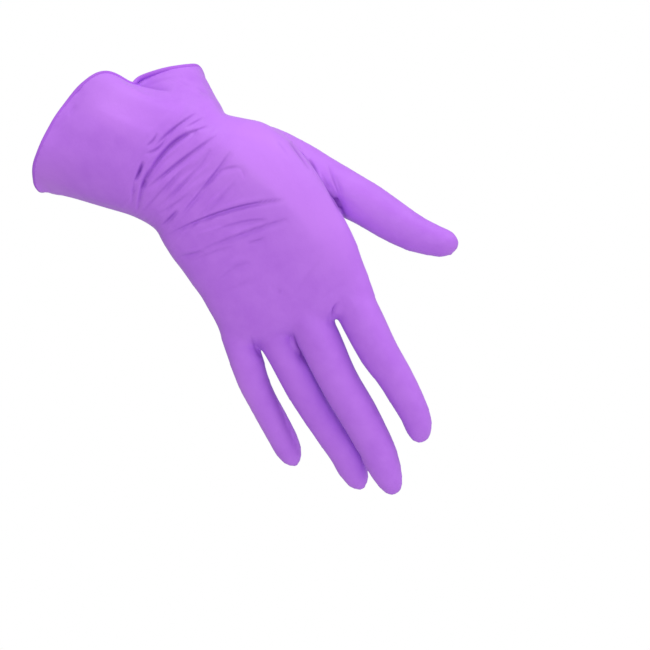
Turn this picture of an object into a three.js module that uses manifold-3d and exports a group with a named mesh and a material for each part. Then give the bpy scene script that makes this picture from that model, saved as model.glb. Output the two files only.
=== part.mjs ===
// A disposable nitrile glove in its worn form: one dipped film, hollow and open at the cuff, and the
// rolled bead round its rim. Millimetres.
//
// Frame: the origin is the middle of the wrist, inside the glove. The fingers hang down along -Z, the
// back of the hand faces -Y, the thumb is on the +X side, and the cuff leans back towards +Y.

import * as THREE from 'three';
import { ParametricGeometry } from 'three/addons/geometries/ParametricGeometry.js';
import { mergeVertices } from 'three/addons/utils/BufferGeometryUtils.js';
import Module from 'manifold-3d';

const wasm = await Module();
wasm.setup();

// Driving dimensions
const WALL = 1.2; // the film, drawn thicker than the real 0.1 mm
const GAP = 0.3; // clear space between the film and its bead
const BEAD_RADIUS = 1.35;
const CUFF_OVERRUN = 9; // how far the hollow runs out past the rim, so that the cuff is open
const WEB_CAP = 5.5; // length of the rounded edge that closes the palm between the fingers
const SQUARENESS = 2.4; // 2 is an ellipse, and more is a fuller section
const STALL_DEPTH = 0.92; // thickness of a finger, as a share of its width
const HAND_AROUND = { valley: 17, back: 14, palm: 18 }; // facets of a hand section, by stretch
const STALL_AROUND = { outside: 18, inside: 14 };
const BEAD_AROUND = 6;
const BEAD_STEPS = 61;

// The rim of the cuff has two lobes with a valley pressed in between them. Angles go round a section
// from the thumb edge (0) over the back of the hand (90) to the little-finger edge (180). dip is the
// share of the radius that is pressed in, and the bulge is how far the large lobe's rim stands up.
const PRESSES = [
  { name: 'valley', at: 58, width: 10, dip: 0.38 },
  { name: 'flattened lobe', at: 28, width: 26, dip: 0.12 },
];
const BULGE = { at: 86, height: 11.5, wide: 36, narrow: 12 };

// Sections from the rim to the finger webs. x, y, z: centre. half, depth: half width and half
// thickness. turn: slope of the width line seen from the front. lean: how far the section tips back.
// roll: how far the thumb edge comes forward. lobes: share of the rim's lobes, from 1 to 0. Degrees.
const HAND = [
  { name: 'rim', x: -20.9, y: 22.5, z: 34.0, half: 46.8, depth: 26.0, turn: 10, lean: 40, roll: 0, lobes: 1 },
  { name: 'flare', x: -15.5, y: 15.5, z: 26.6, half: 42.3, depth: 25.0, turn: 14, lean: 34, roll: 1, lobes: 0.8 },
  { name: 'cuff', x: -9.5, y: 8.8, z: 18.0, half: 37.6, depth: 22.5, turn: 20, lean: 28, roll: 2, lobes: 0.45 },
  { name: 'cuff foot', x: -4.1, y: 3.6, z: 9.1, half: 33.8, depth: 20.5, turn: 25, lean: 22, roll: 3, lobes: 0.12 },
  { name: 'wrist', x: 0.1, y: 0.0, z: 0.1, half: 31.3, depth: 19.0, turn: 31, lean: 15, roll: 5, lobes: 0 },
  { name: 'heel', x: 3.9, y: -1.0, z: -7.4, half: 34.6, depth: 19.5, turn: 30, lean: 11, roll: 6, lobes: 0 },
  { name: 'heel low', x: 8.0, y: -1.6, z: -14.4, half: 38.1, depth: 19.0, turn: 28, lean: 8, roll: 7, lobes: 0 },
  { name: 'thenar', x: 11.6, y: -2.0, z: -23.4, half: 40.0, depth: 18.5, turn: 24, lean: 5, roll: 8, lobes: 0 },
  { name: 'thenar low', x: 14.1, y: -2.2, z: -34.0, half: 40.4, depth: 17.5, turn: 20, lean: 2, roll: 9, lobes: 0 },
  { name: 'palm', x: 15.8, y: -2.2, z: -45.1, half: 39.8, depth: 16.3, turn: 14, lean: 0, roll: 10, lobes: 0 },
  { name: 'palm mid', x: 16.0, y: -2.0, z: -56.0, half: 39.0, depth: 15.3, turn: 9, lean: -1, roll: 10, lobes: 0 },
  { name: 'palm low', x: 16.1, y: -1.6, z: -66.1, half: 38.6, depth: 13.9, turn: 4, lean: -3, roll: 11, lobes: 0 },
  { name: 'knuckles', x: 15.2, y: -1.0, z: -77.5, half: 38.2, depth: 11.6, turn: -3, lean: -6, roll: 12, lobes: 0 },
  { name: 'webs', x: 14.2, y: -0.3, z: -84.5, half: 37.8, depth: 8.2, turn: -7.5, lean: -9, roll: 12, lobes: 0 },
];
// How many rings each stretch between two sections of HAND gets, outside and inside.
const HAND_RINGS = {
  outside: [2, 3, 4, 4, 3, 3, 3, 3, 2, 2, 2, 2, 1],
  inside: [2, 2, 2, 2, 1, 1, 1, 1, 1, 1, 1, 1, 1],
};
const CAP_STEPS = 3;
const CAP_REST = 0.4; // share of a step that the flat end of the palm takes

// Thumb and finger stalls, each from its root inside the palm to its last full section, with the
// point of the tip as the last row. half: half width.
const STALLS = {
  thumb: [
    { x: 26.5, y: 1.5, z: 1.5, half: 7.0 },
    { x: 34.2, y: 3.5, z: -6.7, half: 11.0 },
    { x: 43.2, y: 5.0, z: -18.1, half: 11.0 },
    { x: 52.3, y: 5.0, z: -31.4, half: 10.3 },
    { x: 62.3, y: 4.0, z: -46.5, half: 9.8 },
    { x: 67.0, y: 3.3, z: -53.4, half: 9.6 },
    { x: 78.3, y: 1.8, z: -72.1, half: 8.8 },
    { x: 88.5, y: 0.6, z: -82.5, half: 7.3 },
    { x: 97.1, y: 0.0, z: -87.4, half: 0 },
  ],
  index: [
    { x: 38.5, y: -3.5, z: -64.0, half: 6.0 },
    { x: 40.2, y: -5.8, z: -82.0, half: 9.6 },
    { x: 40.1, y: -6.0, z: -97.6, half: 10.0 },
    { x: 40.1, y: -4.6, z: -115.5, half: 9.4 },
    { x: 41.5, y: -2.6, z: -128.1, half: 8.5 },
    { x: 42.1, y: 0.6, z: -141.1, half: 7.8 },
    { x: 42.1, y: 3.6, z: -150.9, half: 7.0 },
    { x: 39.2, y: 8.0, z: -163.7, half: 0 },
  ],
  middle: [
    { x: 18.3, y: -1.5, z: -64.0, half: 6.0 },
    { x: 18.3, y: -3.4, z: -82.0, half: 9.8 },
    { x: 18.0, y: -3.2, z: -98.3, half: 10.1 },
    { x: 17.3, y: -1.0, z: -118.5, half: 9.4 },
    { x: 18.4, y: 2.4, z: -136.9, half: 9.3 },
    { x: 18.9, y: 6.4, z: -155.1, half: 8.6 },
    { x: 15.8, y: 12.0, z: -178.2, half: 0 },
  ],
  ring: [
    { x: 0.5, y: 0.5, z: -64.0, half: 5.5 },
    { x: -0.2, y: 1.0, z: -80.0, half: 8.2 },
    { x: -0.1, y: 2.4, z: -97.8, half: 8.0 },
    { x: 0.3, y: 7.2, z: -116.3, half: 7.9 },
    { x: 1.9, y: 12.4, z: -133.1, half: 7.6 },
    { x: 4.1, y: 17.2, z: -151.8, half: 7.1 },
    { x: 2.5, y: 22.0, z: -168.5, half: 0 },
  ],
  little: [
    { x: -13.5, y: 3.5, z: -60.0, half: 4.5 },
    { x: -16.0, y: 5.0, z: -75.7, half: 7.2 },
    { x: -17.0, y: 6.4, z: -90.3, half: 7.7 },
    { x: -18.7, y: 9.4, z: -101.3, half: 7.2 },
    { x: -19.1, y: 12.8, z: -111.0, half: 6.7 },
    { x: -19.0, y: 16.6, z: -121.5, half: 6.7 },
    { x: -19.0, y: 20.0, z: -132.0, half: 6.2 },
    { x: -19.8, y: 24.0, z: -144.4, half: 0 },
  ],
};
const STALL_RINGS = { outside: 9, inside: 7 };
const DOME_STEPS = { outside: 4, inside: 3 };

// The main folds pressed into the back of the wrist, each a groove along a curve seen from the front,
// as [x, z].
const FOLDS = [
  { from: [-16.7, 14.3], via: [-3.4, 19.7], to: [15.5, 20.6], depth: 0.6, width: 3.0 },
  { from: [-25.9, 0.5], via: [-7.9, 10.9], to: [13.8, 12.0], depth: 0.7, width: 2.8 },
  { from: [-28.8, -4.3], via: [-6.7, 2.9], to: [15.8, 5.7], depth: 0.7, width: 2.6 },
  { from: [-24.3, -10.9], via: [-1.7, -2.8], to: [15.5, -2.1], depth: 0.7, width: 2.6 },
  { from: [-21.2, -18.2], via: [-1.1, -12.1], to: [17.0, -5.5], depth: 0.6, width: 2.6 },
  { from: [-22.0, -24.1], via: [0.0, -25.3], to: [25.6, -32.0], depth: 0.5, width: 2.8 },
  { from: [-19.2, -31.9], via: [3.5, -34.0], to: [29.1, -40.7], depth: 0.4, width: 2.8 },
];
const FOLD_POINTS = 14;
const BACK_EDGE = 0.2; // sine of the angle past which a section's point counts as the back of the hand

const FILM = new THREE.MeshStandardMaterial({ color: 0xb068e2, roughness: 0.45, metalness: 0 });
const BEAD = new THREE.MeshStandardMaterial({ color: 0x9f58d2, roughness: 0.4, metalness: 0 });

const radians = THREE.MathUtils.degToRad;

// Every named column of a table as one smooth function of t, from 0 at its first row to 1 at its last.
function smooth(rows) {
  const keys = Object.keys(rows[0]).filter((key) => key !== 'name');
  const curves = keys.map((key) => new THREE.SplineCurve(rows.map((row) => new THREE.Vector2(row[key], 0))));
  return (t) => Object.fromEntries(keys.map((key, k) => [key, curves[k].getPoint(t).x]));
}

// A closed solid from a geometry: merged vertices, no flat triangles, faces pointing out.
function solid(geometry) {
  const bare = geometry.clone();
  bare.deleteAttribute('normal');
  bare.deleteAttribute('uv');
  const merged = mergeVertices(bare, 1e-4);
  const index = merged.index.array;
  const kept = [];
  for (let i = 0; i < index.length; i += 3) {
    const [a, b, c] = [index[i], index[i + 1], index[i + 2]];
    if (a !== b && b !== c && c !== a) kept.push(a, b, c);
  }
  const build = (triangles) => new wasm.Manifold(new wasm.Mesh({
    numProp: 3,
    vertProperties: merged.attributes.position.array,
    triVerts: new Uint32Array(triangles),
  }));
  const first = build(kept);
  return first.volume() > 0 ? first : build(kept.reverse());
}

// A solid through rings of equally many points. A first or last ring may be one point repeated.
function loft(rings) {
  const around = rings[0].length;
  const along = rings.length - 1;
  const surface = (u, v, target) => target.copy(
    rings[Math.round(v * along)][Math.round(u * around) % around]);
  return solid(new ParametricGeometry(surface, around, along));
}

// The angles of a hand section's points: close together over the valley, wide apart on the palm.
function handAngles() {
  const { valley, back, palm } = HAND_AROUND;
  const span = (from, to, count) => Array.from({ length: count }, (_, i) => from + (to - from) * i / count);
  return [...span(20, 95, valley), ...span(95, 190, back), ...span(190, 380, palm)].map(radians);
}
const HAND_ANGLES = handAngles();

// The turn from one angle to another in degrees, the short way round.
const turnFrom = (angle, at) => THREE.MathUtils.euclideanModulo(
  THREE.MathUtils.radToDeg(angle) - at + 180, 360) - 180;

// A hand section's outline in its own plane: a rounded rectangle with the valley pressed into it.
function outline(angle, section) {
  const power = 2 / SQUARENESS;
  const bend = (value) => Math.sign(value) * Math.abs(value) ** power;
  const pressed = PRESSES.reduce(
    (sum, { at, width, dip }) => sum + dip * Math.exp(-((turnFrom(angle, at) / width) ** 2)), 0);
  return new THREE.Vector2(section.half * bend(Math.cos(angle)), section.depth * bend(Math.sin(angle)))
    .multiplyScalar(1 - pressed * section.lobes);
}

// The same outline moved inwards, square to itself.
function insetOutline(angle, section, inset) {
  const step = 0.01;
  const along = outline(angle + step, section).sub(outline(angle - step, section)).normalize();
  return outline(angle, section).addScaledVector(new THREE.Vector2(along.y, -along.x), -inset);
}

// How far the rim stands up from its flat section at an angle: steep beside the valley, slow behind.
function bulge(angle, section) {
  const away = turnFrom(angle, BULGE.at);
  const width = away > 0 ? BULGE.wide : BULGE.narrow;
  return BULGE.height * section.lobes ** 2 * Math.exp(-((away / width) ** 2));
}

// A section's turning in space, from its lean, turn and roll.
function turning(section) {
  return new THREE.Euler(-radians(section.lean), -radians(section.turn), -radians(section.roll), 'YXZ');
}

// One ring of the hand, inset from the outside. advance moves it along its own axis, thin scales its
// thickness, and narrow takes that much off its half width.
function handRing(section, inset, advance = 0, thin = 1, narrow = 0) {
  const turned = turning(section);
  return HAND_ANGLES.map((angle) => {
    const point = insetOutline(angle, section, inset);
    const local = new THREE.Vector3(
      point.x * (1 - narrow / section.half),
      -point.y * thin,
      bulge(angle, section) + advance);
    return local.applyEuler(turned).add(new THREE.Vector3(section.x, section.y, section.z));
  });
}

// A ring drawn together into its middle point, which closes a loft.
const pole = (ring) => {
  const middle = ring.reduce((sum, point) => sum.add(point), new THREE.Vector3()).divideScalar(ring.length);
  return ring.map(() => middle);
};

const FOLD_PATHS = FOLDS.map(({ from, via, to, depth, width }) => ({
  depth,
  width,
  points: new THREE.QuadraticBezierCurve(
    new THREE.Vector2(...from), new THREE.Vector2(...via), new THREE.Vector2(...to)).getPoints(FOLD_POINTS),
}));

// How deep all folds together press the film in at a point, seen from the front.
function foldDepth(point) {
  const seen = new THREE.Vector2(point.x, point.z);
  return FOLD_PATHS.reduce((sum, { points, depth, width }) => {
    const near = Math.min(...points.map((p) => p.distanceTo(seen)));
    return sum + depth * Math.exp(-((near / width) ** 2));
  }, 0);
}

// The cuff and hand without thumb and fingers, as a full solid.
function handBody(side) {
  const inside = side === 'inside';
  const inset = inside ? WALL : 0;
  const at = smooth(HAND);
  const stations = HAND_RINGS[side].flatMap((count, row) => Array.from(
    { length: count }, (_, i) => (row + i / count) / (HAND.length - 1)));
  const rings = stations.map((t) => handRing(at(t), inset));
  const last = at(1);
  for (let step = 0; step <= CAP_STEPS; step += 1) {
    const close = step / (CAP_STEPS + CAP_REST) * Math.PI / 2;
    rings.push(handRing(last, inset, -(WEB_CAP - inset) * Math.sin(close), Math.cos(close),
      (1 - Math.cos(close)) * WEB_CAP));
  }
  if (!inside) {
    const onBack = (i) => Math.sin(HAND_ANGLES[i]) > BACK_EDGE;
    rings.forEach((ring) => ring.filter((_, i) => onBack(i)).forEach((point) => {
      point.y += foldDepth(point);
    }));
  }
  if (inside) rings.unshift(handRing(at(0), inset, CUFF_OVERRUN));
  return loft([pole(rings[0]), ...rings, pole(rings[rings.length - 1])]);
}

// A thumb or finger stall as a full solid: rings square to its middle line, and a rounded tip.
function stall(rows, side) {
  const inset = side === 'inside' ? WALL : 0;
  const body = smooth(rows.slice(0, -1));
  const centre = (t) => new THREE.Vector3(body(t).x, body(t).y, body(t).z);
  const end = rows[rows.length - 1];
  const last = centre(1);
  const reach = new THREE.Vector3(end.x, end.y, end.z).sub(last);
  const count = STALL_AROUND[side];
  const ring = (middle, direction, half) => {
    const across = new THREE.Vector3(0, -1, 0).cross(direction).normalize();
    const up = direction.clone().cross(across);
    return Array.from({ length: count }, (_, i) => {
      const angle = 2 * Math.PI * i / count;
      return middle.clone()
        .addScaledVector(across, half * Math.cos(angle))
        .addScaledVector(up, half * STALL_DEPTH * Math.sin(angle));
    });
  };
  const rings = [];
  const step = 0.02;
  for (let i = 0; i <= STALL_RINGS[side]; i += 1) {
    const t = i / STALL_RINGS[side];
    const direction = centre(Math.min(t + step, 1)).sub(centre(Math.max(t - step, 0))).normalize();
    rings.push(ring(centre(t), direction, body(t).half - inset));
  }
  const forward = reach.clone().normalize();
  for (let i = 1; i < DOME_STEPS[side]; i += 1) {
    const rise = i / DOME_STEPS[side] * Math.PI / 2;
    const middle = last.clone().addScaledVector(forward, (reach.length() - inset) * Math.sin(rise));
    rings.push(ring(middle, forward, (body(1).half - inset) * Math.cos(rise)));
  }
  const tip = last.clone().addScaledVector(forward, reach.length() - inset);
  return loft([pole(rings[0]), ...rings, rings[0].map(() => tip)]);
}

// Hand, thumb and fingers joined, either as the outside of the glove or as its hollow.
function wholeHand(side) {
  return Object.values(STALLS).reduce((joined, rows) => joined.add(stall(rows, side)), handBody(side));
}

// The bead: a tube round the rim, its middle line just past the film's end. It closes on itself.
function beadSolid(radius) {
  const rim = HAND[0];
  const line = new THREE.CatmullRomCurve3(handRing(rim, WALL / 2, BEAD_RADIUS), true);
  const axis = new THREE.Vector3(0, 0, 1).applyEuler(turning(rim));
  const surface = (u, v, target) => {
    const angle = 2 * Math.PI * Math.round(u * BEAD_AROUND) / BEAD_AROUND;
    const t = (Math.round(v * BEAD_STEPS) % BEAD_STEPS) / BEAD_STEPS;
    const out = line.getTangentAt(t).cross(axis).normalize();
    const up = out.clone().cross(line.getTangentAt(t));
    target.copy(line.getPointAt(t))
      .addScaledVector(out, radius * Math.cos(angle))
      .addScaledVector(up, radius * Math.sin(angle));
  };
  return solid(new ParametricGeometry(surface, BEAD_AROUND, BEAD_STEPS));
}

// A named mesh from a solid.
function piece(name, body, material) {
  const { vertProperties, triVerts } = body.getMesh();
  const geometry = new THREE.BufferGeometry();
  geometry.setAttribute('position', new THREE.BufferAttribute(vertProperties, 3));
  geometry.setIndex(new THREE.BufferAttribute(triVerts, 1));
  geometry.computeVertexNormals();
  const mesh = new THREE.Mesh(geometry, material);
  mesh.name = name;
  return mesh;
}

const film = wholeHand('outside').subtract(wholeHand('inside')).subtract(beadSolid(BEAD_RADIUS + GAP));

const glove = new THREE.Group();
glove.add(piece('glove_film', film, FILM));
glove.add(piece('cuff_bead', beadSolid(BEAD_RADIUS), BEAD));

export default glove;
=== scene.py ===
# A disposable nitrile glove in its worn form: the dipped film and the rolled bead round its rim.
# Metres, in the part's own frame: the fingers hang along -Z, the back of the hand faces -Y, the thumb
# is on the +X side and the cuff leans back towards +Y.

import math

import bmesh
import bpy
import numpy as np
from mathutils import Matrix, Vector


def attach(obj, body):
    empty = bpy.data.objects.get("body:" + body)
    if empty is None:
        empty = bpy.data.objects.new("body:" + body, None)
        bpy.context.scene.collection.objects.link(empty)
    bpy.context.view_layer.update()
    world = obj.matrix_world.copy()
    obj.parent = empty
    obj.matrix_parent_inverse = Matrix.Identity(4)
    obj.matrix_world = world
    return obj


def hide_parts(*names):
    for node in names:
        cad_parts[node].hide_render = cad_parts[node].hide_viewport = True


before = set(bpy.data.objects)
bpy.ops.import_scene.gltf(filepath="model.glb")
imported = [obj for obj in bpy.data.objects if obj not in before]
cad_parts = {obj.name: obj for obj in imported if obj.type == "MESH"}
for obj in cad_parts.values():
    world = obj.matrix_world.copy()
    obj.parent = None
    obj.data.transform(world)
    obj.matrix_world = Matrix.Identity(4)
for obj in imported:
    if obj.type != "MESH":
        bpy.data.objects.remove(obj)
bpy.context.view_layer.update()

# Dipped film: one seamless skin of nitrile, made by dipping a hand-shaped former. Worn, it is
# stretched smooth over the hand, gathers in folds at the wrist, and flares out in a loose cuff whose
# rim has two lobes with a valley pressed in between them.

MM = 0.001
PHOTO_SCALE = 0.47
WRIST_PIXEL = (190.5, 171.0)
CAMERA_ROLL = math.radians(27)
CAMERA_DISTANCE = 1600
PICTURE_MIDDLE = np.array((23.45, -93.2))
FILM_WALL = 0.9 * MM
SQUARENESS = 2.4
STALL_DEPTH = 0.92
WEB_CAP = 5.5
SLACK = 1.0
LINE_WIDTH = 0.45
HOLLOW_DROP = 0.5

# Sections from the rim to the finger webs, in millimetres and degrees: x, y, z of the centre, half
# width, half thickness, turn of the width line, lean back, roll forward of the thumb edge, and the
# share of the rim's lobes that the section has.
HAND = np.array([
    (-20.9, 22.5, 34.0, 46.8, 26.0, 10.0, 40, 0, 1.0),
    (-15.5, 15.5, 26.6, 42.3, 25.0, 14.0, 34, 1, 0.8),
    (-9.5, 8.8, 18.0, 37.6, 22.5, 20.0, 28, 2, 0.45),
    (-4.1, 3.6, 9.1, 33.8, 20.5, 25.0, 22, 3, 0.12),
    (-0.2, 0.0, -0.1, 31.7, 19.0, 31.0, 15, 5, 0),
    (3.6, -1.0, -7.6, 35.0, 19.5, 30.0, 11, 6, 0),
    (7.7, -1.6, -14.6, 38.4, 19.0, 28.0, 8, 7, 0),
    (11.5, -2.0, -23.4, 39.9, 18.5, 24.0, 5, 8, 0),
    (13.8, -2.2, -34.0, 40.1, 17.5, 20.0, 2, 9, 0),
    (15.5, -2.2, -45.1, 39.5, 16.3, 14.0, 0, 10, 0),
    (16.0, -2.0, -56.0, 39.0, 15.3, 9.0, -1, 10, 0),
    (16.1, -1.6, -66.1, 38.6, 13.9, 4.0, -3, 11, 0),
    (15.2, -1.0, -77.5, 38.2, 12.2, -3.0, -6, 12, 0),
    (14.2, -0.3, -84.5, 37.8, 11.0, -7.5, -9, 12, 0),
])
PAST_RIM = 2 * HAND[0] - HAND[1]
HAND_ROWS = np.vstack([PAST_RIM, HAND])

# Thumb and fingers in millimetres: x, y, z of the middle line and half width, from the root inside
# the palm to the last full section. The last row is the point of the tip.
STALLS = {
    "thumb": [
        (26.5, 1.5, 1.5, 7.5), (34.9, 3.5, -6.2, 11.8), (43.9, 5.0, -17.6, 12.0),
        (53.0, 5.0, -31.0, 11.2), (63.0, 4.0, -46.0, 10.7), (67.6, 3.3, -53.0, 10.4),
        (78.7, 1.8, -71.8, 9.4), (88.8, 0.6, -82.3, 7.6), (97.4, 0.0, -87.7, 0),
    ],
    "index": [
        (38.5, -3.5, -64.0, 6.0), (40.2, -5.8, -82.0, 9.6), (40.1, -6.0, -97.6, 10.0),
        (40.1, -4.6, -115.5, 9.4), (41.5, -2.6, -128.1, 8.5), (42.1, 0.6, -141.1, 7.8),
        (42.1, 3.6, -150.9, 7.0), (39.2, 8.0, -163.7, 0),
    ],
    "middle": [
        (18.3, -1.5, -64.0, 6.0), (18.3, -3.4, -82.0, 9.8), (18.0, -3.2, -98.3, 10.1),
        (17.3, -1.0, -118.5, 9.4), (18.4, 2.4, -136.9, 9.3), (18.9, 6.4, -155.1, 8.6),
        (16.8, 12.0, -180.2, 0),
    ],
    "ring": [
        (0.5, 1.5, -64.0, 5.5), (0.1, 2.0, -80.0, 8.4), (0.3, 3.7, -97.8, 8.3),
        (0.7, 8.0, -116.3, 8.2), (1.9, 12.4, -133.1, 7.6), (4.7, 17.2, -152.2, 7.8),
        (3.6, 22.0, -171.0, 0),
    ],
    "little": [
        (-13.5, 3.5, -60.0, 4.5), (-16.0, 5.0, -75.7, 7.4), (-17.1, 6.4, -90.3, 8.0),
        (-18.8, 9.4, -101.3, 7.5), (-19.2, 12.8, -111.0, 7.0), (-19.0, 16.6, -121.5, 7.0),
        (-18.8, 20.0, -132.3, 6.8), (-19.4, 24.0, -146.8, 0),
    ],
}

# The rim's lobes: at an angle from the thumb edge over the back of the hand, the share of the radius
# that is left there and how far the rim stands up. Between them the film dips in beside the thumb.
RIM = np.array([
    (0, 1.02, 1.4), (10, 0.96, -0.4), (20, 0.89, 0.1), (30, 0.83, 1.1), (40, 0.76, 2.8),
    (50, 0.71, 4.4), (56, 0.70, 4.1), (61, 0.71, 2.0), (65, 0.75, 1.2), (70, 0.81, 3.2),
    (75, 0.90, 7.4), (80, 1.0, 10.4), (85, 1.04, 12.1), (90, 1.04, 12.1), (100, 1.0, 10.2),
    (110, 1.03, 7.2), (120, 1.02, 4.6), (130, 1.03, 2.3), (140, 1.025, 1.0), (160, 1.015, 0.4),
    (170, 1.01, 1.2), (178, 1.01, 1.4), (184, 1.01, 1.0), (189, 0.99, 3.4), (200, 1.0, 4.0),
    (210, 1.0, 3.4), (220, 1.0, 2.0), (235, 1.0, 0.6), (260, 1.0, 0.0), (335, 1.0, 0.0),
    (350, 1.01, 0.5), (360, 1.02, 1.4),
])
RIM_SKEW = 22
RIM_SOFTNESS = 2.5
RIM_FLARE = 0.016
RIM_FLARE_REACH = 1.8
FIRST_ROWS_APART = 11.5


def along(rows, place):
    """Every column of a table at a place in rows: a Catmull-Rom curve through the rows."""
    rows = np.asarray(rows, float)
    first = np.clip(np.floor(place).astype(int), 0, len(rows) - 2)
    f = (place - first)[..., None]
    before = rows[np.maximum(first - 1, 0)]
    start, end = rows[first], rows[first + 1]
    after = rows[np.minimum(first + 2, len(rows) - 1)]
    leave, arrive = (end - before) / 2, (after - start) / 2
    cubic = 2 * start - 2 * end + leave + arrive
    square = 3 * end - 3 * start - 2 * leave - arrive
    return cubic * f ** 3 + square * f ** 2 + leave * f + start


def section_axes(section):
    """Unit vectors across, out of the back and up the arm: the row frame's axes rolled about Z,
    leaned back about X and then turned about Y."""
    turn, lean, roll = np.radians(np.moveaxis(section[..., 5:8], -1, 0))
    zero = np.zeros_like(turn)
    local = (
        (np.cos(roll), -np.sin(roll) * np.cos(lean), np.sin(roll) * np.sin(lean)),
        (-np.sin(roll), -np.cos(roll) * np.cos(lean), np.cos(roll) * np.sin(lean)),
        (zero, np.sin(lean), np.cos(lean)),
    )
    return [np.stack([x * np.cos(turn) - z * np.sin(turn), y, x * np.sin(turn) + z * np.cos(turn)], -1)
            for x, y, z in local]


def rounded(value):
    """A sine or cosine raised to the power that makes an ellipse a fuller rounded section."""
    return np.sign(value) * np.abs(value) ** (2 / SQUARENESS)


def rim_profile(column):
    """A column of the rim table at every degree, softened by a bell curve round the ring."""
    degrees = np.arange(360)
    values = np.interp(degrees, RIM[:, 0], RIM[:, column])
    near = np.arange(-12, 13)
    weights = np.exp(-(near / RIM_SOFTNESS) ** 2 / 2)
    return sum(w * np.roll(values, n) for w, n in zip(weights / weights.sum(), near))


RIM_SHARES = rim_profile(1)
RIM_RISES = rim_profile(2)


def rim_share(angle, lobes):
    """What is left of the radius. The dip slants towards the thumb edge down the cuff."""
    degrees = np.degrees(angle) + RIM_SKEW * (1 - lobes)
    left = np.interp(degrees % 360, np.arange(361), np.append(RIM_SHARES, RIM_SHARES[0]))
    return 1 + (left - 1) * lobes


def rim_rise(angle, lobes):
    """How far the rim's lobes stand up, which fades by the square down the cuff."""
    rise = np.interp(np.degrees(angle) % 360, np.arange(361), np.append(RIM_RISES, RIM_RISES[0]))
    return rise * lobes ** 2


def corner_flare(angle, below):
    """How much wider the rim's outermost corner hooks outwards, over the last millimetres below it."""
    return 0.03 * np.exp(-((np.degrees(angle) % 360 - 180) / 9) ** 2 - below / 1.6)


def hand_grid(rings, around):
    """The smooth cuff and palm without lobes: sections along the table, then a rounded cap that
    narrows and thins by a quarter circle towards the webs."""
    cap = np.linspace(0, 1, 9)[1:] * math.radians(80)
    place = np.concatenate([np.linspace(0, len(HAND), rings), np.full(len(cap), len(HAND))])
    section = along(HAND_ROWS, place)
    closing = np.concatenate([np.zeros(rings), cap])[:, None]
    angle = np.linspace(0, 2 * math.pi, around, endpoint=False)[None, :]
    across, out, up = section_axes(section)
    half = section[:, 3:4] - SLACK - (1 - np.cos(closing)) * WEB_CAP
    p = half * rounded(np.cos(angle))
    q = (section[:, 4:5] - SLACK) * np.cos(closing) * rounded(np.sin(angle))
    h = -(WEB_CAP - SLACK) * np.sin(closing) + 0 * angle
    return (section[:, None, :3] + p[..., None] * across[:, None] + q[..., None] * out[:, None]
            + h[..., None] * up[:, None])


def stall_grid(rows, rings, around):
    """A finger: ellipses square to its middle line, then a dome whose half width falls as a cosine
    while its middle moves on by a sine to the tip."""
    body, tip = np.array(rows[:-1]), np.array(rows[-1][:3])
    place = np.linspace(0, len(body) - 1, rings)
    line = along(body, place)
    direction = np.gradient(line[:, :3], axis=0)
    rise = np.linspace(0, 1, 12)[1:, None] * math.radians(86)
    reach = tip - line[-1, :3]
    line[:, 3] -= SLACK
    reach *= 1 - SLACK / np.linalg.norm(reach)
    dome = np.hstack([line[-1, :3] + reach * np.sin(rise), line[-1, 3] * np.cos(rise)])
    line = np.vstack([line, dome])
    direction = np.vstack([direction, np.repeat(reach[None], len(dome), 0)])
    direction /= np.linalg.norm(direction, axis=1, keepdims=True)
    across = np.cross([0, -1, 0], direction)
    across /= np.linalg.norm(across, axis=1, keepdims=True)
    out = np.cross(direction, across)
    angle = np.linspace(0, 2 * math.pi, around, endpoint=False)[None, :, None]
    radius = line[:, None, 3:4]
    return (line[:, None, :3] + radius * np.cos(angle) * across[:, None]
            + STALL_DEPTH * radius * np.sin(angle) * out[:, None])


def tube_faces(rings, around, first):
    """Quads between neighbouring rings of a closed tube, and one flat face at each end."""
    ring, side = np.meshgrid(np.arange(rings - 1), np.arange(around), indexing="ij")
    step = (side + 1) % around
    quads = np.stack([ring * around + side, ring * around + step,
                      (ring + 1) * around + step, (ring + 1) * around + side], -1).reshape(-1, 4) + first
    start = np.arange(around)[::-1] + first
    end = np.arange(around) + first + (rings - 1) * around
    return [*quads.tolist(), start.tolist(), end.tolist()]


def joined_tubes(name, grids):
    """One mesh object from several closed tubes, in metres."""
    points, faces, first = [], [], 0
    for grid in grids:
        rings, around = grid.shape[:2]
        points.append(grid.reshape(-1, 3) * MM)
        faces += tube_faces(rings, around, first)
        first += rings * around
    mesh = bpy.data.meshes.new(name)
    mesh.from_pydata(np.vstack(points).tolist(), [], faces)
    mesh.update()
    bm = bmesh.new()
    bm.from_mesh(mesh)
    bmesh.ops.recalc_face_normals(bm, faces=bm.faces)
    bm.to_mesh(mesh)
    bm.free()
    piece = bpy.data.objects.new(name, mesh)
    bpy.context.scene.collection.objects.link(piece)
    return piece


def remeshed(piece, voxel):
    """The piece's mesh as one skin of even squares round the joined tubes."""
    modifier = piece.modifiers.new("skin", "REMESH")
    modifier.mode = "VOXEL"
    modifier.voxel_size = voxel
    evaluated = piece.evaluated_get(bpy.context.evaluated_depsgraph_get())
    mesh = bpy.data.meshes.new_from_object(evaluated)
    piece.modifiers.remove(modifier)
    return mesh


def points_of(mesh):
    points = np.empty(len(mesh.vertices) * 3)
    mesh.vertices.foreach_get("co", points)
    return points.reshape(-1, 3)


def normals_of(mesh):
    normals = np.empty(len(mesh.vertices) * 3)
    mesh.vertices.foreach_get("normal", normals)
    return normals.reshape(-1, 3)


def set_points(mesh, points):
    mesh.vertices.foreach_set("co", points.reshape(-1))
    mesh.update()


def edges_of(mesh):
    edges = np.empty(len(mesh.edges) * 2, int)
    mesh.edges.foreach_get("vertices", edges)
    return edges.reshape(-1, 2)


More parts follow.
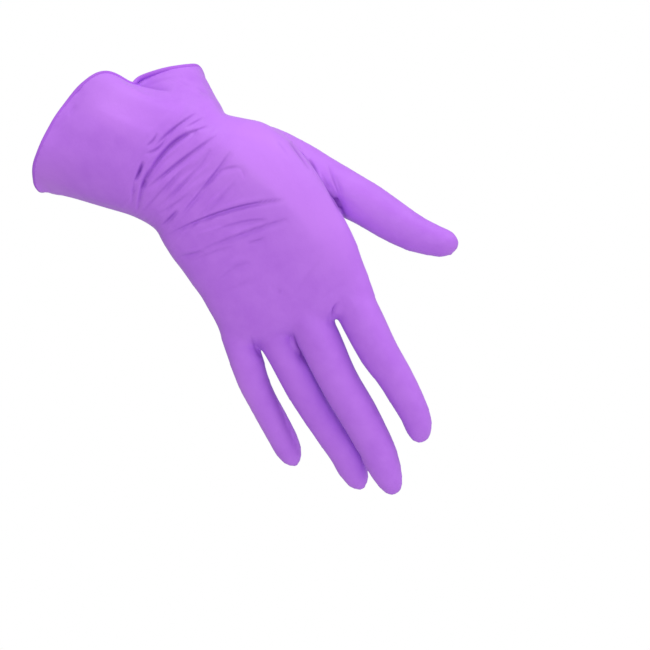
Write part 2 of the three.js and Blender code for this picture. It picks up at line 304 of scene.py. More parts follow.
def neighbour_middle(points, edges):
    """The middle of each point's neighbours: their sum along the edges, over their count."""
    count = np.bincount(edges.reshape(-1), minlength=len(points))[:, None]
    total = np.stack([
        np.bincount(edges[:, 0], points[edges[:, 1], axis], len(points))
        + np.bincount(edges[:, 1], points[edges[:, 0], axis], len(points)) for axis in range(3)], 1)
    return total / count


def relaxed(points, edges, rounds, held):
    """Each point moved half way to its neighbours' middle and then a little more than that back, round
    after round, which evens the skin without shrinking it. The held points stay in place."""
    free = 1 - held[:, None]
    for step in [0.5, -0.52] * rounds:
        points = points + step * free * (neighbour_middle(points, edges) - points)
    return points


def eased(points, edges, rounds, weight):
    """Each point moved half way to its neighbours' middle, round after round, by its own weight."""
    for _ in range(rounds):
        points = points + 0.5 * weight[:, None] * (neighbour_middle(points, edges) - points)
    return points


def rim_points(mesh):
    """1 for each point on the open edge of the mesh, and 0 for the others. An open edge has one face."""
    sides = np.empty(len(mesh.loops), int)
    mesh.loops.foreach_get("edge_index", sides)
    faces_beside = np.bincount(sides, minlength=len(mesh.edges))
    held = np.zeros(len(mesh.vertices))
    held[edges_of(mesh)[faces_beside == 1]] = 1
    return held


def cuff_coordinates(points):
    """Section, angle and height of points on the cuff. The section is the one whose plane holds the
    point, found where the point's distance to the planes changes sign."""
    places = np.linspace(0.3, 7, 240)
    planes = along(HAND_ROWS, places)
    ups = section_axes(planes)[2]
    distance = np.einsum("pkc,kc->pk", points[:, None] - planes[None, :, :3], ups)
    after = np.clip(np.argmax(distance > 0, axis=1), 1, len(places) - 1)
    rows = np.arange(len(points))
    low, high = distance[rows, after - 1], distance[rows, after]
    share = np.clip(-low / (high - low), 0, 1)
    section = along(HAND_ROWS, places[after - 1] + share * (places[1] - places[0]))
    axes = section_axes(section)
    offset = points - section[:, :3]
    p, q, h = (np.einsum("pc,pc->p", offset, axis) for axis in axes)
    unbend = SQUARENESS / 2
    angle = np.arctan2(np.sign(q) * np.abs(q / section[:, 4]) ** unbend,
                       np.sign(p) * np.abs(p / section[:, 3]) ** unbend)
    return section, axes, p, q, h, angle


def with_lobes(points):
    """Points of the smooth cuff moved into its lobes, towards the middle by the rim's share and up the
    arm by its rise, and how many millimetres each lies below the rim. The last few flare outwards."""
    section, axes, p, q, h, angle = cuff_coordinates(points)
    lobes = np.maximum(section[:, 8], 0)
    below = (1 - lobes) / (HAND[0, 8] - HAND[1, 8]) * FIRST_ROWS_APART
    flare = 1 + RIM_FLARE * np.exp(-below / RIM_FLARE_REACH)
    share = rim_share(angle, lobes) * flare + corner_flare(angle, below)
    moved = [axis * amount[:, None] for axis, amount in zip(
        axes, (p * share, q * share, h + rim_rise(angle, lobes)))]
    return section[:, :3] + sum(moved), below


def refined(mesh, chosen):
    """The mesh with the edges between chosen points cut in half."""
    between = np.flatnonzero(chosen[edges_of(mesh)].all(axis=1)).tolist()
    bm = bmesh.new()
    bm.from_mesh(mesh)
    bm.edges.ensure_lookup_table()
    edges = [bm.edges[index] for index in between]
    bmesh.ops.subdivide_edges(bm, edges=edges, cuts=1, use_grid_fill=True)
    bm.to_mesh(mesh)
    bm.free()


FILM_VOXEL = 1.6 * MM
tubes = [hand_grid(90, 112)] + [stall_grid(rows, 40, 56) for rows in STALLS.values()]
film = joined_tubes("dipped_film", tubes)
skin = remeshed(film, FILM_VOXEL)

# The rim is cut square to the arm. The skin was made a little slack all over, so that the fingers
# stay apart while it forms, and is blown up to its full size here.
rim_row = HAND[0]
rim_up = section_axes(rim_row)[2]
bm = bmesh.new()
bm.from_mesh(skin)
bmesh.ops.bisect_plane(bm, geom=[*bm.verts, *bm.edges, *bm.faces], dist=1e-6,
                       plane_co=rim_row[:3] * MM, plane_no=rim_up, clear_outer=True)
bm.to_mesh(skin)
bm.free()
set_points(skin, relaxed(points_of(skin), edges_of(skin), 10, rim_points(skin)))
blown = normals_of(skin)
on_rim = rim_points(skin)[:, None]
blown -= on_rim * (blown @ rim_up)[:, None] * rim_up
blown /= np.linalg.norm(blown, axis=1, keepdims=True)
set_points(skin, points_of(skin) + blown * SLACK * MM)
set_points(skin, relaxed(points_of(skin), edges_of(skin), 3, rim_points(skin)))

# The skin is eased where the hand runs into the finger roots, over the pit at one web and at two places
# of the step to the thumb's root. The pit and these two places are given as x and z in millimetres.
FINGER_ROOTS = -77
EASED_PLACES = ((8.5, -91.0), (45.5, -4.0), (49.5, -11.0))
EASED_RADIUS = 6
points = points_of(skin) / MM
ease = np.exp(-((points[:, 2] - FINGER_ROOTS) / 9) ** 2)
for x, z in EASED_PLACES:
    apart = (points[:, 0] - x) ** 2 + (points[:, 2] - z) ** 2
    ease = np.maximum(ease, np.exp(-apart / EASED_RADIUS ** 2))
set_points(skin, eased(points, edges_of(skin), 16, ease) * MM)

# The back takes a closer mesh for its fine folds: the wrist, cuff and thumb root, the finger webs,
# and once more in the middle of the wrist.
back = normals_of(skin)[:, 1] < 0.35
x, y, z = points_of(skin).T / MM
wrist = (z > -58) & (z < 62) & (x < 64)
webs = (z > -106) & (z < -76) & (x > -15) & (x < 40)
refined(skin, back & (wrist | webs))
set_points(skin, relaxed(points_of(skin), edges_of(skin), 2, rim_points(skin)))
back = normals_of(skin)[:, 1] < 0
x, y, z = points_of(skin).T / MM
wrist = (z > -36) & (z < 27) & (x < 22) & (z - 0.6 * x < 28)
thumb_root = (z > -58) & (z < -4) & (x > 44) & (x < 63)
webs = (z > -100) & (z < -80) & ((abs(x - 9) < 5) | (abs(x + 9) < 5) | (abs(x - 31) < 5))
refined(skin, back & (wrist | thumb_root | webs))
points = relaxed(points_of(skin), edges_of(skin), 2, rim_points(skin)) / MM
cuff_row = HAND[5]
on_cuff = (points - cuff_row[:3]) @ section_axes(cuff_row)[2] > 0
below_rim = np.full(len(points), 1000.0)
points[on_cuff], below_rim[on_cuff] = with_lobes(points[on_cuff])
set_points(skin, points * MM)

# Folds as the photograph shows them, in its pixels: the curve's start, middle and end, then how deep it
# is pressed in and the width of its sharp side in millimetres, how many times wider its soft side is,
# how much painted shade darkens its line, and where along it the fold is strongest. A ridge has a
# negative depth. Rows with no depth are only painted shade: the shaded flanks of the fingers beside the
# gaps and webs.
BACK_FOLDS = np.array([
    (197, 112.5, 172, 129, 153, 149, 0.98, 0.6, 2.4, 0.46, 0.45),
    (166, 137, 157, 148, 145, 153, 0.8, 0.6, 2, 0.42, 0.5),
    (157, 132.5, 153, 140, 146, 146, 0.7, 0.6, 2, 0.5, 0.5),
    (204, 117, 195, 122, 185, 127.5, 0.5, 0.6, 2, 0.26, 0.5),
    (198, 130, 167, 147, 141, 189, 1.96, 0.7, 2.6, 0.56, 0.55),
    (196, 131, 180, 137, 165, 149, 0.4, 0.6, 2, 0.1, 0.45),
    (150, 168, 144, 179, 140, 190, 1.26, 0.7, 2.4, 0.65, 0.55),
    (144, 180, 139.5, 195, 137, 213, 1.12, 0.6, 2.2, 0.4, 0.4),
    (142.5, 161, 138.5, 171.5, 133.5, 183, 1.68, 0.55, 1.8, 0.95, 0.5),
    (134, 182, 132.5, 193, 131.5, 206, 0.7, 0.6, 2.2, 0.28, 0.4),
    (208, 125.5, 199, 129, 188, 132, 0.5, 0.5, 2, 0.24, 0.5),
    (197, 130, 192.5, 137, 187, 145, 0.4, 0.8, 2, 0.16, 0.4),
    (219, 134, 183, 158.5, 146, 189, 1.4, 0.6, 2.8, 0.46, 0.55),
    (190, 163, 166, 186, 142, 212, 0.84, 0.7, 2.4, 0.25, 0.6),
    (206, 158, 181, 185, 156, 208, 0.63, 0.9, 2.2, 0.19, 0.5),
    (210, 149, 204.5, 160, 195, 172, 0.45, 0.9, 2, 0.17, 0.5),
    (231, 151, 208.5, 181.5, 178, 218, 1.2, 0.7, 2.6, 0.36, 0.45),
    (190, 192, 175, 203.5, 159, 213, 0.56, 0.8, 2, 0.22, 0.5),
    (177, 210, 170, 217.5, 161, 226, 1.1, 0.55, 1.8, 0.6, 0.5),
    (286, 199.8, 227, 210, 164, 236.5, 1.6, 0.55, 2.4, 0.58, 0.5),
    (265, 197, 228, 205.5, 192, 220, -0.35, 1.1, 1.2, 0, 0.5),
    (268, 219.5, 242, 222, 213, 231, 0.8, 0.7, 2.4, 0.26, 0.45),
    (226, 226.5, 211, 229.5, 195, 235.5, -0.5, 0.8, 1.4, 0, 0.5),
    (288, 218.5, 241, 234, 186, 256, 1.1, 0.6, 2.6, 0.32, 0.4),
    (264, 223.5, 240, 231, 214, 242.5, -0.5, 0.9, 1.2, 0, 0.5),
    (265, 237.5, 257, 240.5, 246, 243, 0.6, 0.6, 2, 0.28, 0.5),
    (234, 246, 213, 252, 191, 262, 0.6, 0.8, 2, 0.18, 0.5),
    (208, 247, 194, 249.5, 179, 251.5, -0.4, 0.9, 1.2, 0, 0.5),
    (248, 258, 228, 264, 211, 283, -0.4, 1.1, 1.4, 0, 0.45),
    (252, 262, 233, 268, 215, 285, 0.5, 0.9, 2, 0.13, 0.45),
    (256, 279, 241, 284, 220, 292, 0.4, 1, 2, 0.09, 0.5),
    (266, 286, 276, 289, 285.5, 295.5, 0.5, 0.9, 1.8, 0.18, 0.7),
    (318, 261, 305, 279, 291, 298, 0.4, 1.2, 2.4, 0.08, 0.4),
    (241, 167, 229, 168, 216, 172.5, 0.55, 0.8, 2, 0.18, 0.5),
    (239, 167, 243, 172, 245, 180, 0.35, 0.8, 1.8, 0.1, 0.5),
    (218, 194, 210, 204, 200, 214, -0.4, 0.8, 1.4, 0, 0.5),
    (223, 195, 214, 206, 204, 215, 0.5, 0.8, 2, 0.14, 0.5),
    (236, 182, 226, 192, 217, 204, 0.35, 1, 2, 0.1, 0.5),
    (277, 141, 283, 148, 288, 157, 0.42, 0.8, 1.6, 0.13, 0.5),
    (206, 251, 190, 254, 176, 258, 0.7, 0.8, 2, 0.22, 0.5),
    (133, 80, 151, 84.5, 172, 90.5, 2.2, 1, 3.2, 0.4, 0.45),
    (137, 82.5, 158, 79, 182, 76, 0.7, 0.8, 2.6, 0.15, 0.25),
    (143, 77, 155, 73, 172, 69, 0.4, 0.7, 1.6, 0.08, 0.4),
    (178, 80, 184, 82.5, 191, 86.5, 0.5, 0.8, 2, 0.08, 0.5),
    (197, 86.5, 202, 90, 207, 95, 0.5, 0.9, 2, 0.08, 0.5),
    (77, 105, 72, 109, 68, 115, 0.4, 0.8, 1.6, 0.1, 0.5),
    (81, 86, 78, 90, 75, 96, 0.3, 0.8, 1.6, 0.1, 0.5),
    (290, 142, 301, 157, 311, 172, 0.6, 0.6, 1.6, 0.4, 0.35),
    (309, 158.5, 315, 167, 321, 178, 0.8, 0.5, 1.8, 0.75, 0.5),
    (319, 176, 331, 192.5, 342.5, 214, 1.4, 0.7, 4, 0.65, 0.62),
    (320.5, 171, 325.5, 180.5, 331, 189, 0.4, 0.5, 1.6, 0.3, 0.6),
    (327.5, 163, 333.5, 180.5, 339, 196, 0.8, 0.6, 2, 0.3, 0.55),
    (336, 176, 339, 186, 342, 196, 0.5, 0.7, 2, 0.14, 0.5),
    (325.5, 183, 336.5, 203, 346.5, 218, 0.7, 0.8, 7, 0.7, 0.66),
    (340, 301, 333.5, 308, 333, 318, 1.1, 0.6, 2, 0.62, 0.65),
    (301, 456, 281, 412, 261, 356, 0, 3, 3, 0.5, 0.42),
    (331, 311, 328.5, 318, 329, 328, 0.3, 0.8, 1.6, 0.06, 0.5),
    (308, 367, 299, 350, 292.5, 332, 0.8, 0.6, 3, 0.75, 0.5),
    (308, 366, 299.5, 350, 293, 334, 0, 2.5, 4, 0.3, 0.55),
    (293, 344, 290.5, 339, 292, 334, 0.3, 1.2, 1.2, 0.12, 0.5),
    (291.5, 337, 294.5, 344, 298.5, 352, -1.0, 1.1, 1.1, 0, 0.5),
    (262, 358, 255.5, 348, 250.5, 334, 0.5, 0.8, 3, 0.4, 0.4),
    (270, 376, 261, 356, 257, 343, 0, 2.0, 3, 0.35, 0.6),
])

# Long crests in the same columns: the film bends over the edge of the back of the hand, and over the
# cuff's near lobe, and falls away flat on both sides.
CRESTS = np.array([
    (68, 96, 114, 118, 166, 142, -5.0, 24, 0.6, 0, 0.45),
    (180, 118, 264, 184, 346, 282, -6.0, 40, 0.6, 0, 0.45),
])

# The palm's lines, the bends of the fingers and the gathers inside the wrist, in the same columns but
# with their places as x and z in millimetres.
PALM_FOLDS = np.array([
    (47, -72, 22, -66, 6, -60, 0.9, 1.6, 1.6, 0.25, 0.5),
    (48, -62, 24, -48, 20, -12, 1.2, 1.8, 1.6, 0.34, 0.5),
    (44, -58, 14, -56, -14, -42, 0.9, 1.6, 1.5, 0.25, 0.5),
    (49, -92, 40.5, -94, 32, -92, 0.9, 1.3, 1.2, 0.25, 0.5),
    (48, -117, 40.5, -118, 33, -117, 0.8, 1.2, 1.2, 0.22, 0.5),
    (27, -95, 18, -97, 9, -95, 0.9, 1.3, 1.2, 0.25, 0.5),
    (26, -124, 17.5, -125, 9, -124, 0.8, 1.2, 1.2, 0.22, 0.5),
    (8, -93, 0, -95, -8, -93, 0.8, 1.3, 1.2, 0.22, 0.5),
    (9, -121, 1.2, -122, -6, -121, 0.8, 1.2, 1.2, 0.22, 0.5),
    (-10, -88, -17, -89, -24, -87, 0.8, 1.2, 1.2, 0.22, 0.5),
    (-13, -111, -19.2, -112, -25, -111, 0.7, 1.2, 1.2, 0.2, 0.5),
    (60, -57, 68, -55, 74, -50, 0.9, 1.3, 1.2, 0.25, 0.5),
    (30, 9, 2, 3, -26, 1, 1.8, 1.7, 2.2, 0.5, 0.5),
    (30, 2, 6, -3, -22, -6, 1.4, 1.6, 2, 0.39, 0.5),
    (24, 17, -2, 10, -26, 10, 1.4, 1.6, 2.2, 0.39, 0.5),
    (33, -6, 14, -10, -16, -14, 0.9, 1.6, 2, 0.25, 0.5),
    (16, 23, -6, 18, -24, 19, 0.8, 1.6, 2, 0.22, 0.5),
])


def from_photo(pixels):
    """x and z in millimetres, on the plane through the wrist, of places in the photograph."""
    right = (pixels[..., 0] - WRIST_PIXEL[0]) * PHOTO_SCALE
    up = (WRIST_PIXEL[1] - pixels[..., 1]) * PHOTO_SCALE
    roll_cos, roll_sin = math.cos(CAMERA_ROLL), math.sin(CAMERA_ROLL)
    return np.stack([right * roll_cos + up * roll_sin, up * roll_cos - right * roll_sin], -1)


def bell(side, size):
    return np.exp(-(side / size) ** 2)


def tent(side, size):
    """A roof whose top is rounded over an eighth of its size, and whose sides level out slowly."""
    return np.exp(0.12 - np.sqrt((side / size) ** 2 + 0.0144))


def fold_depths(seen, curves, shapes, across, reach):
    """How deep all folds press each point in, seen from the front, and how much painted shade darkens
    the folds' lines there. Across a fold the depth is a bell curve with a wider soft side, its middle a
    little lower than the line, whose upper side is in the shade. Along it the depth rises and falls as a
    parabola that is skewed to the strongest place."""
    depth, dark = np.zeros(len(seen)), np.zeros(len(seen))
    t = np.linspace(0, 1, 65)[:, None]
    for (start, middle, end), (deep, width, spread, painted_shade_mark, strongest) in zip(curves, shapes):
        via = 2 * middle - (start + end) / 2
        curve = (1 - t) ** 2 * start + 2 * t * (1 - t) * via + t ** 2 * end
        margin = width * max(1, spread) * reach
        low, high = curve.min(0) - margin, curve.max(0) + margin
        near = np.flatnonzero(np.all((seen > low) & (seen < high), axis=1))
        gap = seen[near, None] - curve[None]
        closest = np.argmin((gap ** 2).sum(-1), axis=1)
        offset = gap[np.arange(len(near)), closest]
        heading = np.gradient(curve, axis=0)
        stride = np.linalg.norm(heading, axis=1)
        heading = (heading / stride[:, None])[closest]
        forward = (offset * heading).sum(1)
        side = offset[:, 0] * heading[:, 1] - offset[:, 1] * heading[:, 0]
        lowered = side + HOLLOW_DROP * (heading[:, 1] * math.sin(CAMERA_ROLL)
                                        - heading[:, 0] * math.cos(CAMERA_ROLL))
        size = np.where(lowered > 0, width, width * spread)
        s = np.clip((closest + forward / stride[closest]) / 64, 0, 1)
        past = np.abs(forward) * ((closest == 0) | (closest == 64))
        skewed = s ** (math.log(0.5) / math.log(strongest))
        fade = (1 - (2 * skewed - 1) ** 2) * np.exp(-(past / width) ** 2)
        depth[near] += deep * fade * across(lowered, size)
        # Painted shade: each fold's line is darkened by its mark, narrowly on the sharp side and more
        # widely on the soft side.
        line = np.where(side > 0, LINE_WIDTH, max(LINE_WIDTH, 0.5 * width * spread ** 0.5))
        dark[near] += painted_shade_mark * fade * np.exp(-(side / line) ** 2)
    return depth, np.clip(dark, 0, 1)


# The fine waves between the folds: height and wavelength in millimetres, how much of the bend they
# take, and their start.
GATHERS = (
    (0.16, 3.3, 0.5, 0.0),
    (0.14, 4.7, 0.8, 1.3),
    (0.10, 2.3, 0.3, 2.1),
)


def fine_gathers(seen):
    """Small waves across the wrist between the folds: three sines whose lines bend slowly along the
    folds, under a bell curve round the wrist."""
    x, z = seen[:, 0], seen[:, 1]
    bend = 1.6 * np.sin(x / 9) + 1.1 * np.sin(x / 5.3 + z / 14)
    across = 0.94 * z - 0.35 * x
    waves = sum(high * np.sin(2 * math.pi * (across + bend * lean) / long + at)
                for high, long, lean, at in GATHERS)
    return waves * np.exp(-((x + 8) / 24) ** 2 - ((z + 4) / 24) ** 2)


# Painted light: the film's colour is made paler in patches where the light falls brightest: the middle
# of each patch in the same pixels as the folds, the radius in millimetres, and how pale.
PAINTED_LIGHT_PATCHES = np.array([
    (255, 150, 24, 0.9),
    (330, 225, 20, 0.8),
    (118, 96, 15, 0.6),
    (45, 182, 13, 0.9),
])

# Where that painted light ends more sharply, in the columns of the folds.
PAINTED_LIGHT_EDGES = np.array([
    (222, 148, 272, 187, 330, 240, 0.5, 2.5, 7, 0, 0.5),
    (70, 103, 112, 122.5, 143, 150, 0.5, 2.5, 6, 0, 0.5),
    (232, 355, 248, 410, 274, 454, 1.2, 4, 1, 0, 0.5),
    (268, 380, 290, 430, 318, 478, 0.6, 3.5, 1, 0, 0.5),
])

# A point's place in the photograph's frame, brought to the plane through the wrist.
points = points_of(skin) / MM
normals = normals_of(skin)
nearness = CAMERA_DISTANCE / (CAMERA_DISTANCE + points[:, 1])
seen = PICTURE_MIDDLE + (points[:, [0, 2]] - PICTURE_MIDDLE) * nearness[:, None]
painted_crease_shade = np.zeros(len(points))
back_curves = from_photo(BACK_FOLDS[:, :6].reshape(-1, 3, 2))
palm_curves = PALM_FOLDS[:, :6].reshape(-1, 3, 2)
crest_curves = from_photo(CRESTS[:, :6].reshape(-1, 3, 2))
rise = fold_depths(seen, crest_curves, CRESTS[:, 6:], tent, 4.5)[0]
points[:, 1] += rise * np.clip(-normals[:, 1] * 3, 0, 1) * (1 - np.exp(-below_rim / 6))
# Painted shade: each fold's line adds to a darkening of the film's colour, kept on the side of the hand
# that the fold lies on.
for curves, table, sign in ((back_curves, BACK_FOLDS, -1), (palm_curves, PALM_FOLDS, 1)):
    facing = np.clip(sign * normals[:, 1] * 3, 0, 1)
    depth, painted_shade = fold_depths(seen, curves, table[:, 6:], bell, 2.5)
    points = points - normals * (depth * facing)[:, None]
    painted_crease_shade += painted_shade * np.clip(0.5 + 6 * sign * normals[:, 1], 0, 1)
points -= normals * (fine_gathers(seen) * np.clip(-normals[:, 1] * 3, 0, 1))[:, None]
set_points(skin, points * MM)
# Painted light: the film's colour is made paler round the patches and up to the sharp edges where the
# light falls brightest, only on faces that look towards the front.
painted_light_centres = from_photo(PAINTED_LIGHT_PATCHES[:, :2])
distance = np.linalg.norm(seen[:, None] - painted_light_centres, axis=-1)
painted_light_amount = (PAINTED_LIGHT_PATCHES[:, 3] * np.exp(-(distance / PAINTED_LIGHT_PATCHES[:, 2]) ** 2)).sum(1)
painted_light_curves = from_photo(PAINTED_LIGHT_EDGES[:, :6].reshape(-1, 3, 2))
painted_light_amount += fold_depths(seen, painted_light_curves, PAINTED_LIGHT_EDGES[:, 6:], bell, 2.5)[0]
painted_light_amount = np.clip(painted_light_amount, 0, 1) * np.clip(0.5 - 3 * normals[:, 1], 0, 1)

# The wall's inner face follows the outer one with fewer faces, and the two meet at the rim.
lining = skin.copy()
inner = bpy.data.objects.new("lining", lining)
bpy.context.scene.collection.objects.link(inner)
fewer = inner.modifiers.new("fewer", "DECIMATE")
fewer.ratio = 0.1
lining = bpy.data.meshes.new_from_object(inner.evaluated_get(bpy.context.evaluated_depsgraph_get()))
bpy.data.objects.remove(inner)
set_points(lining, points_of(lining) - normals_of(lining) * FILM_WALL)
lining.flip_normals()
bm = bmesh.new()
bm.from_mesh(skin)
bm.from_mesh(lining)
bmesh.ops.bridge_loops(bm, edges=[e for e in bm.edges if e.is_boundary])
bm.to_mesh(skin)
bm.free()
film.data = skin
skin.polygons.foreach_set("use_smooth", [True] * len(skin.polygons))
# Two attributes carry the painted shade along the folds' lines and the painted light on the brightest
# patches.
for name, values in (("painted_shade", painted_crease_shade), ("painted_light", painted_light_amount)):
    padded = np.concatenate([values, np.zeros(len(skin.vertices) - len(values))])
    skin.attributes.new(name, "FLOAT", "POINT").data.foreach_set("value", padded)


# Painted colours: a deep purple for the painted shade along the folds' lines and a paler purple for the
# painted light on the brightest patches; then the film's own purple and a deeper tone it varies to at
# random.
PAINTED_SHADE_PURPLE = (0.19, 0.035, 0.42)
PAINTED_LIGHT_PURPLE = (0.53, 0.195, 0.84)
FILM_PURPLE = (0.482, 0.170, 0.80)
FILM_PURPLE_DEEP = (0.438, 0.143, 0.755)


def node(tree, kind, **inputs):
    """A shader node with values set on its own sockets."""
    made = tree.nodes.new(kind)
    for name, value in inputs.items():
        made.inputs[name.replace("_", " ")].default_value = value
    return made


def nitrile(name, colour, dark, roughness):
    """Satin nitrile: a purple that varies a little in large soft clouds, made paler by painted light and
    darker by painted shade where the mesh's attributes say so, with a fine leathery grain and tiny pits
    that catch the light."""
    material = bpy.data.materials.new(name)
    material.use_nodes = True
    tree = material.node_tree
    shader = tree.nodes["Principled BSDF"]
    shader.inputs["Specular IOR Level"].default_value = 0.22
    shader.inputs["IOR"].default_value = 1.5
    shader.inputs["Sheen Weight"].default_value = 0.08
    shader.inputs["Sheen Roughness"].default_value = 0.4
    place = tree.nodes.new("ShaderNodeTexCoord").outputs["Object"]

    clouds = node(tree, "ShaderNodeTexNoise", Scale=95.0, Detail=4.0, Roughness=0.55)
    mix = tree.nodes.new("ShaderNodeMix")
    mix.data_type = "RGBA"
    mix.inputs[6].default_value = (*colour, 1)
    mix.inputs[7].default_value = (*dark, 1)
    soften = node(tree, "ShaderNodeMapRange", From_Min=0.35, From_Max=0.75)
    tree.links.new(place, clouds.inputs["Vector"])
    tree.links.new(clouds.outputs["Fac"], soften.inputs["Value"])
    tree.links.new(soften.outputs["Result"], mix.inputs[0])
    # Painted light: an attribute mixes the colour towards a paler purple where the light falls
    # brightest.
    paint_light = tree.nodes.new("ShaderNodeMix")
    paint_light.data_type = "RGBA"
    paint_light.inputs[7].default_value = (*PAINTED_LIGHT_PURPLE, 1)
    painted_light = tree.nodes.new("ShaderNodeAttribute")
    painted_light.attribute_name = "painted_light"
    tree.links.new(painted_light.outputs["Fac"], paint_light.inputs[0])
    tree.links.new(mix.outputs[2], paint_light.inputs[6])
    # Painted shade: another attribute mixes the colour towards a deep purple along the folds' lines.
    paint_shade = tree.nodes.new("ShaderNodeMix")
    paint_shade.data_type = "RGBA"
    paint_shade.inputs[7].default_value = (*PAINTED_SHADE_PURPLE, 1)
    shade_attribute_node = tree.nodes.new("ShaderNodeAttribute")
    shade_attribute_node.attribute_name = "painted_shade"
    tree.links.new(shade_attribute_node.outputs["Fac"], paint_shade.inputs[0])
    tree.links.new(paint_light.outputs[2], paint_shade.inputs[6])
    tree.links.new(paint_shade.outputs[2], shader.inputs["Base Color"])

    gloss = node(tree, "ShaderNodeTexNoise", Scale=160.0, Detail=4.0)
    rough = node(tree, "ShaderNodeMapRange", From_Min=0.3, From_Max=0.7,
                 To_Min=roughness - 0.06, To_Max=roughness + 0.08)
    tree.links.new(place, gloss.inputs["Vector"])
    tree.links.new(gloss.outputs["Fac"], rough.inputs["Value"])
    tree.links.new(rough.outputs["Result"], shader.inputs["Roughness"])

    grain = node(tree, "ShaderNodeTexNoise", Scale=900.0, Detail=4.0, Roughness=0.55)
    waves = node(tree, "ShaderNodeTexNoise", Scale=170.0, Detail=2.0)
    tree.links.new(place, grain.inputs["Vector"])
    tree.links.new(place, waves.inputs["Vector"])
    fine = node(tree, "ShaderNodeBump", Strength=0.15, Distance=0.0003)
    broad = node(tree, "ShaderNodeBump", Strength=0.25, Distance=0.0008)
    tree.links.new(grain.outputs["Fac"], fine.inputs["Height"])
    tree.links.new(waves.outputs["Fac"], broad.inputs["Height"])
    tree.links.new(broad.outputs["Normal"], fine.inputs["Normal"])
    tree.links.new(fine.outputs["Normal"], shader.inputs["Normal"])
    return material


skin.materials.clear()
skin.materials.append(nitrile("film_nitrile", FILM_PURPLE, FILM_PURPLE_DEEP, 0.52))
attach(film, "root")
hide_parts("glove_film")

# Rolled bead: the film's own edge rolled up several turns while it was still wet, which makes a soft
# ring that follows the rim and keeps it from tearing.

BEAD_RADIUS = 1.3
BEAD_RISE = 0.6
BEAD_PURPLE = (0.42, 0.125, 0.74)
BEAD_PURPLE_DEEP = (0.39, 0.11, 0.70)


def bead_grid(around_rim, around_bead):
    """A tube along the rim's lobed edge, whose radius swells and thins a little by slow sines."""
    angle = np.linspace(0, 2 * math.pi, around_rim, endpoint=False)
    section = np.repeat(rim_row[None], around_rim, 0)
    across, out, up = section_axes(section)
    share = rim_share(angle, section[:, 8]) + corner_flare(angle, 0)
    p = (section[:, 3] - FILM_WALL / MM / 2) * rounded(np.cos(angle)) * share
    q = (section[:, 4] - FILM_WALL / MM / 2) * rounded(np.sin(angle)) * share
    h = rim_rise(angle, section[:, 8]) + BEAD_RISE
    line = section[:, :3] + p[:, None] * across + q[:, None] * out + h[:, None] * up
    step = np.linalg.norm(np.roll(line, -1, 0) - line, axis=1)
    travelled = np.concatenate([[0], np.cumsum(step)])
    even = np.linspace(0, travelled[-1], around_rim, endpoint=False)
    closed = np.vstack([line, line[:1]])
    line = np.stack([np.interp(even, travelled, closed[:, axis]) for axis in range(3)], 1)
    heading = np.roll(line, -1, 0) - np.roll(line, 1, 0)
    heading /= np.linalg.norm(heading, axis=1, keepdims=True)
    outward = np.cross(heading, up)
    outward /= np.linalg.norm(outward, axis=1, keepdims=True)
    upward = np.cross(outward, heading)
    turn = np.linspace(0, 2 * math.pi, around_bead, endpoint=False)[None, :, None]
    radius = BEAD_RADIUS * (1 + 0.06 * np.sin(5 * angle) + 0.05 * np.sin(11 * angle + 1))[:, None, None]
    return line[:, None] + radius * (np.cos(turn) * outward[:, None] + np.sin(turn) * upward[:, None])


def ring_mesh(name, grid):
    """A closed ring: quads round both ways of the grid."""
    rings, around = grid.shape[:2]
    ring, side = np.meshgrid(np.arange(rings), np.arange(around), indexing="ij")
    after, step = (ring + 1) % rings, (side + 1) % around
    quads = np.stack([ring * around + side, after * around + side,
                      after * around + step, ring * around + step], -1).reshape(-1, 4)
    mesh = bpy.data.meshes.new(name)
    mesh.from_pydata((grid.reshape(-1, 3) * MM).tolist(), [], quads.tolist())
    mesh.update()
    bm = bmesh.new()
    bm.from_mesh(mesh)
    bmesh.ops.recalc_face_normals(bm, faces=bm.faces)
    bm.to_mesh(mesh)
    bm.free()
    mesh.polygons.foreach_set("use_smooth", [True] * len(mesh.polygons))
    piece = bpy.data.objects.new(name, mesh)
    bpy.context.scene.collection.objects.link(piece)
    return piece


bead = ring_mesh("rolled_bead", bead_grid(420, 20))
bead.data.materials.append(nitrile("bead_nitrile", BEAD_PURPLE, BEAD_PURPLE_DEEP, 0.45))
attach(bead, "root")
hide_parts("cuff_bead")

# Studio: a white surround, three large soft lights at the upper right, the upper left and the front, a
# pale floor below the picture, and the camera straight in front of the back of the hand, rolled so that
# the fingers point down right.

PHOTO_WIDTH = 650
AIM = (PICTURE_MIDDLE[0] * MM, 0, PICTURE_MIDDLE[1] * MM)
SENSOR = 36.0

camera_data = bpy.data.cameras.new("camera")
camera_data.sensor_width = SENSOR
camera_data.lens = SENSOR * CAMERA_DISTANCE / (PHOTO_WIDTH * PHOTO_SCALE)
camera = bpy.data.objects.new("camera", camera_data)
camera.rotation_mode = "XYZ"
camera.location = (AIM[0], AIM[1] - CAMERA_DISTANCE * MM, AIM[2])
camera.rotation_euler = (math.radians(90), CAMERA_ROLL, 0)
bpy.context.scene.collection.objects.link(camera)
bpy.context.scene.camera = camera


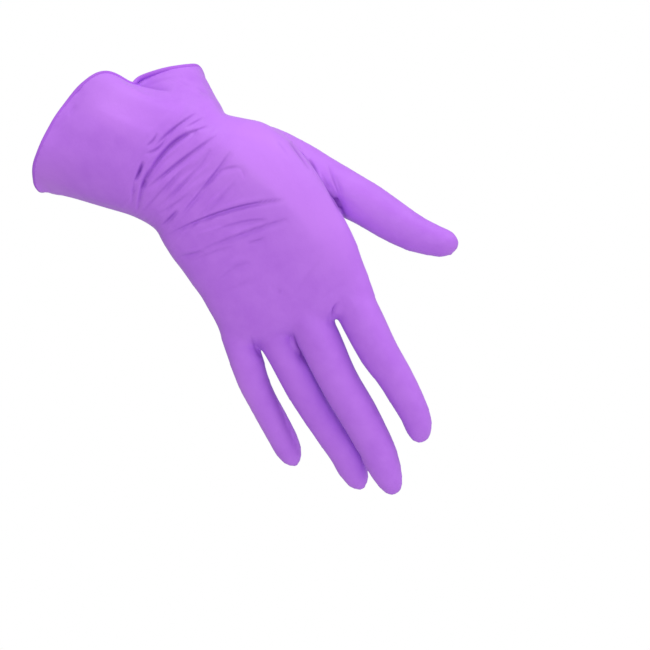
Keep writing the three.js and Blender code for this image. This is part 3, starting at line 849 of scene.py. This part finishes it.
def soft_light(name, right, up, front, size, power):
    """A square area light that faces the middle of the glove, placed as the camera sees it."""
    data = bpy.data.lights.new(name, "AREA")
    data.size = size
    data.energy = power
    light = bpy.data.objects.new(name, data)
    roll_cos, roll_sin = math.cos(CAMERA_ROLL), math.sin(CAMERA_ROLL)
    light.location = (AIM[0] + right * roll_cos + up * roll_sin, -front,
                      AIM[2] - right * roll_sin + up * roll_cos)
    towards = Vector(AIM) - light.location
    light.rotation_euler = towards.to_track_quat("-Z", "Y").to_euler()
    bpy.context.scene.collection.objects.link(light)


soft_light("upper_right", 1.0, 1.2, 0.25, 0.9, 8.4)
soft_light("upper_left", -0.5, 1.5, 0.3, 0.9, 9.3)
soft_light("front", 0.0, 0.2, 1.6, 0.9, 8.8)

world = bpy.data.worlds.new("surround")
world.use_nodes = True
tree = world.node_tree
white = tree.nodes["Background"]
white.inputs["Color"].default_value = (1, 1, 1, 1)
white.inputs["Strength"].default_value = 1.0
glow = node(tree, "ShaderNodeBackground", Color=(1, 1, 1, 1), Strength=0.50)
path = tree.nodes.new("ShaderNodeLightPath")
choose = tree.nodes.new("ShaderNodeMixShader")
tree.links.new(path.outputs["Is Camera Ray"], choose.inputs["Fac"])
tree.links.new(glow.outputs["Background"], choose.inputs[1])
tree.links.new(white.outputs["Background"], choose.inputs[2])
tree.links.new(choose.outputs["Shader"], tree.nodes["World Output"].inputs["Surface"])
bpy.context.scene.world = world

FLOOR_DROP = 0.46
FLOOR_SIDE = 1.4
floor_mesh = bpy.data.meshes.new("floor")
reach = FLOOR_SIDE / 2
floor_mesh.from_pydata([(-reach, -reach, -FLOOR_DROP), (reach, -reach, -FLOOR_DROP),
                        (reach, reach, -FLOOR_DROP), (-reach, reach, -FLOOR_DROP)], [], [(0, 1, 2, 3)])
floor = bpy.data.objects.new("floor", floor_mesh)
paint = bpy.data.materials.new("floor_paint")
paint.use_nodes = True
paint.node_tree.nodes["Principled BSDF"].inputs["Base Color"].default_value = (0.86, 0.86, 0.87, 1)
paint.node_tree.nodes["Principled BSDF"].inputs["Roughness"].default_value = 0.7
floor_mesh.materials.append(paint)
bpy.context.scene.collection.objects.link(floor)

bpy.context.scene.view_settings.view_transform = "Standard"
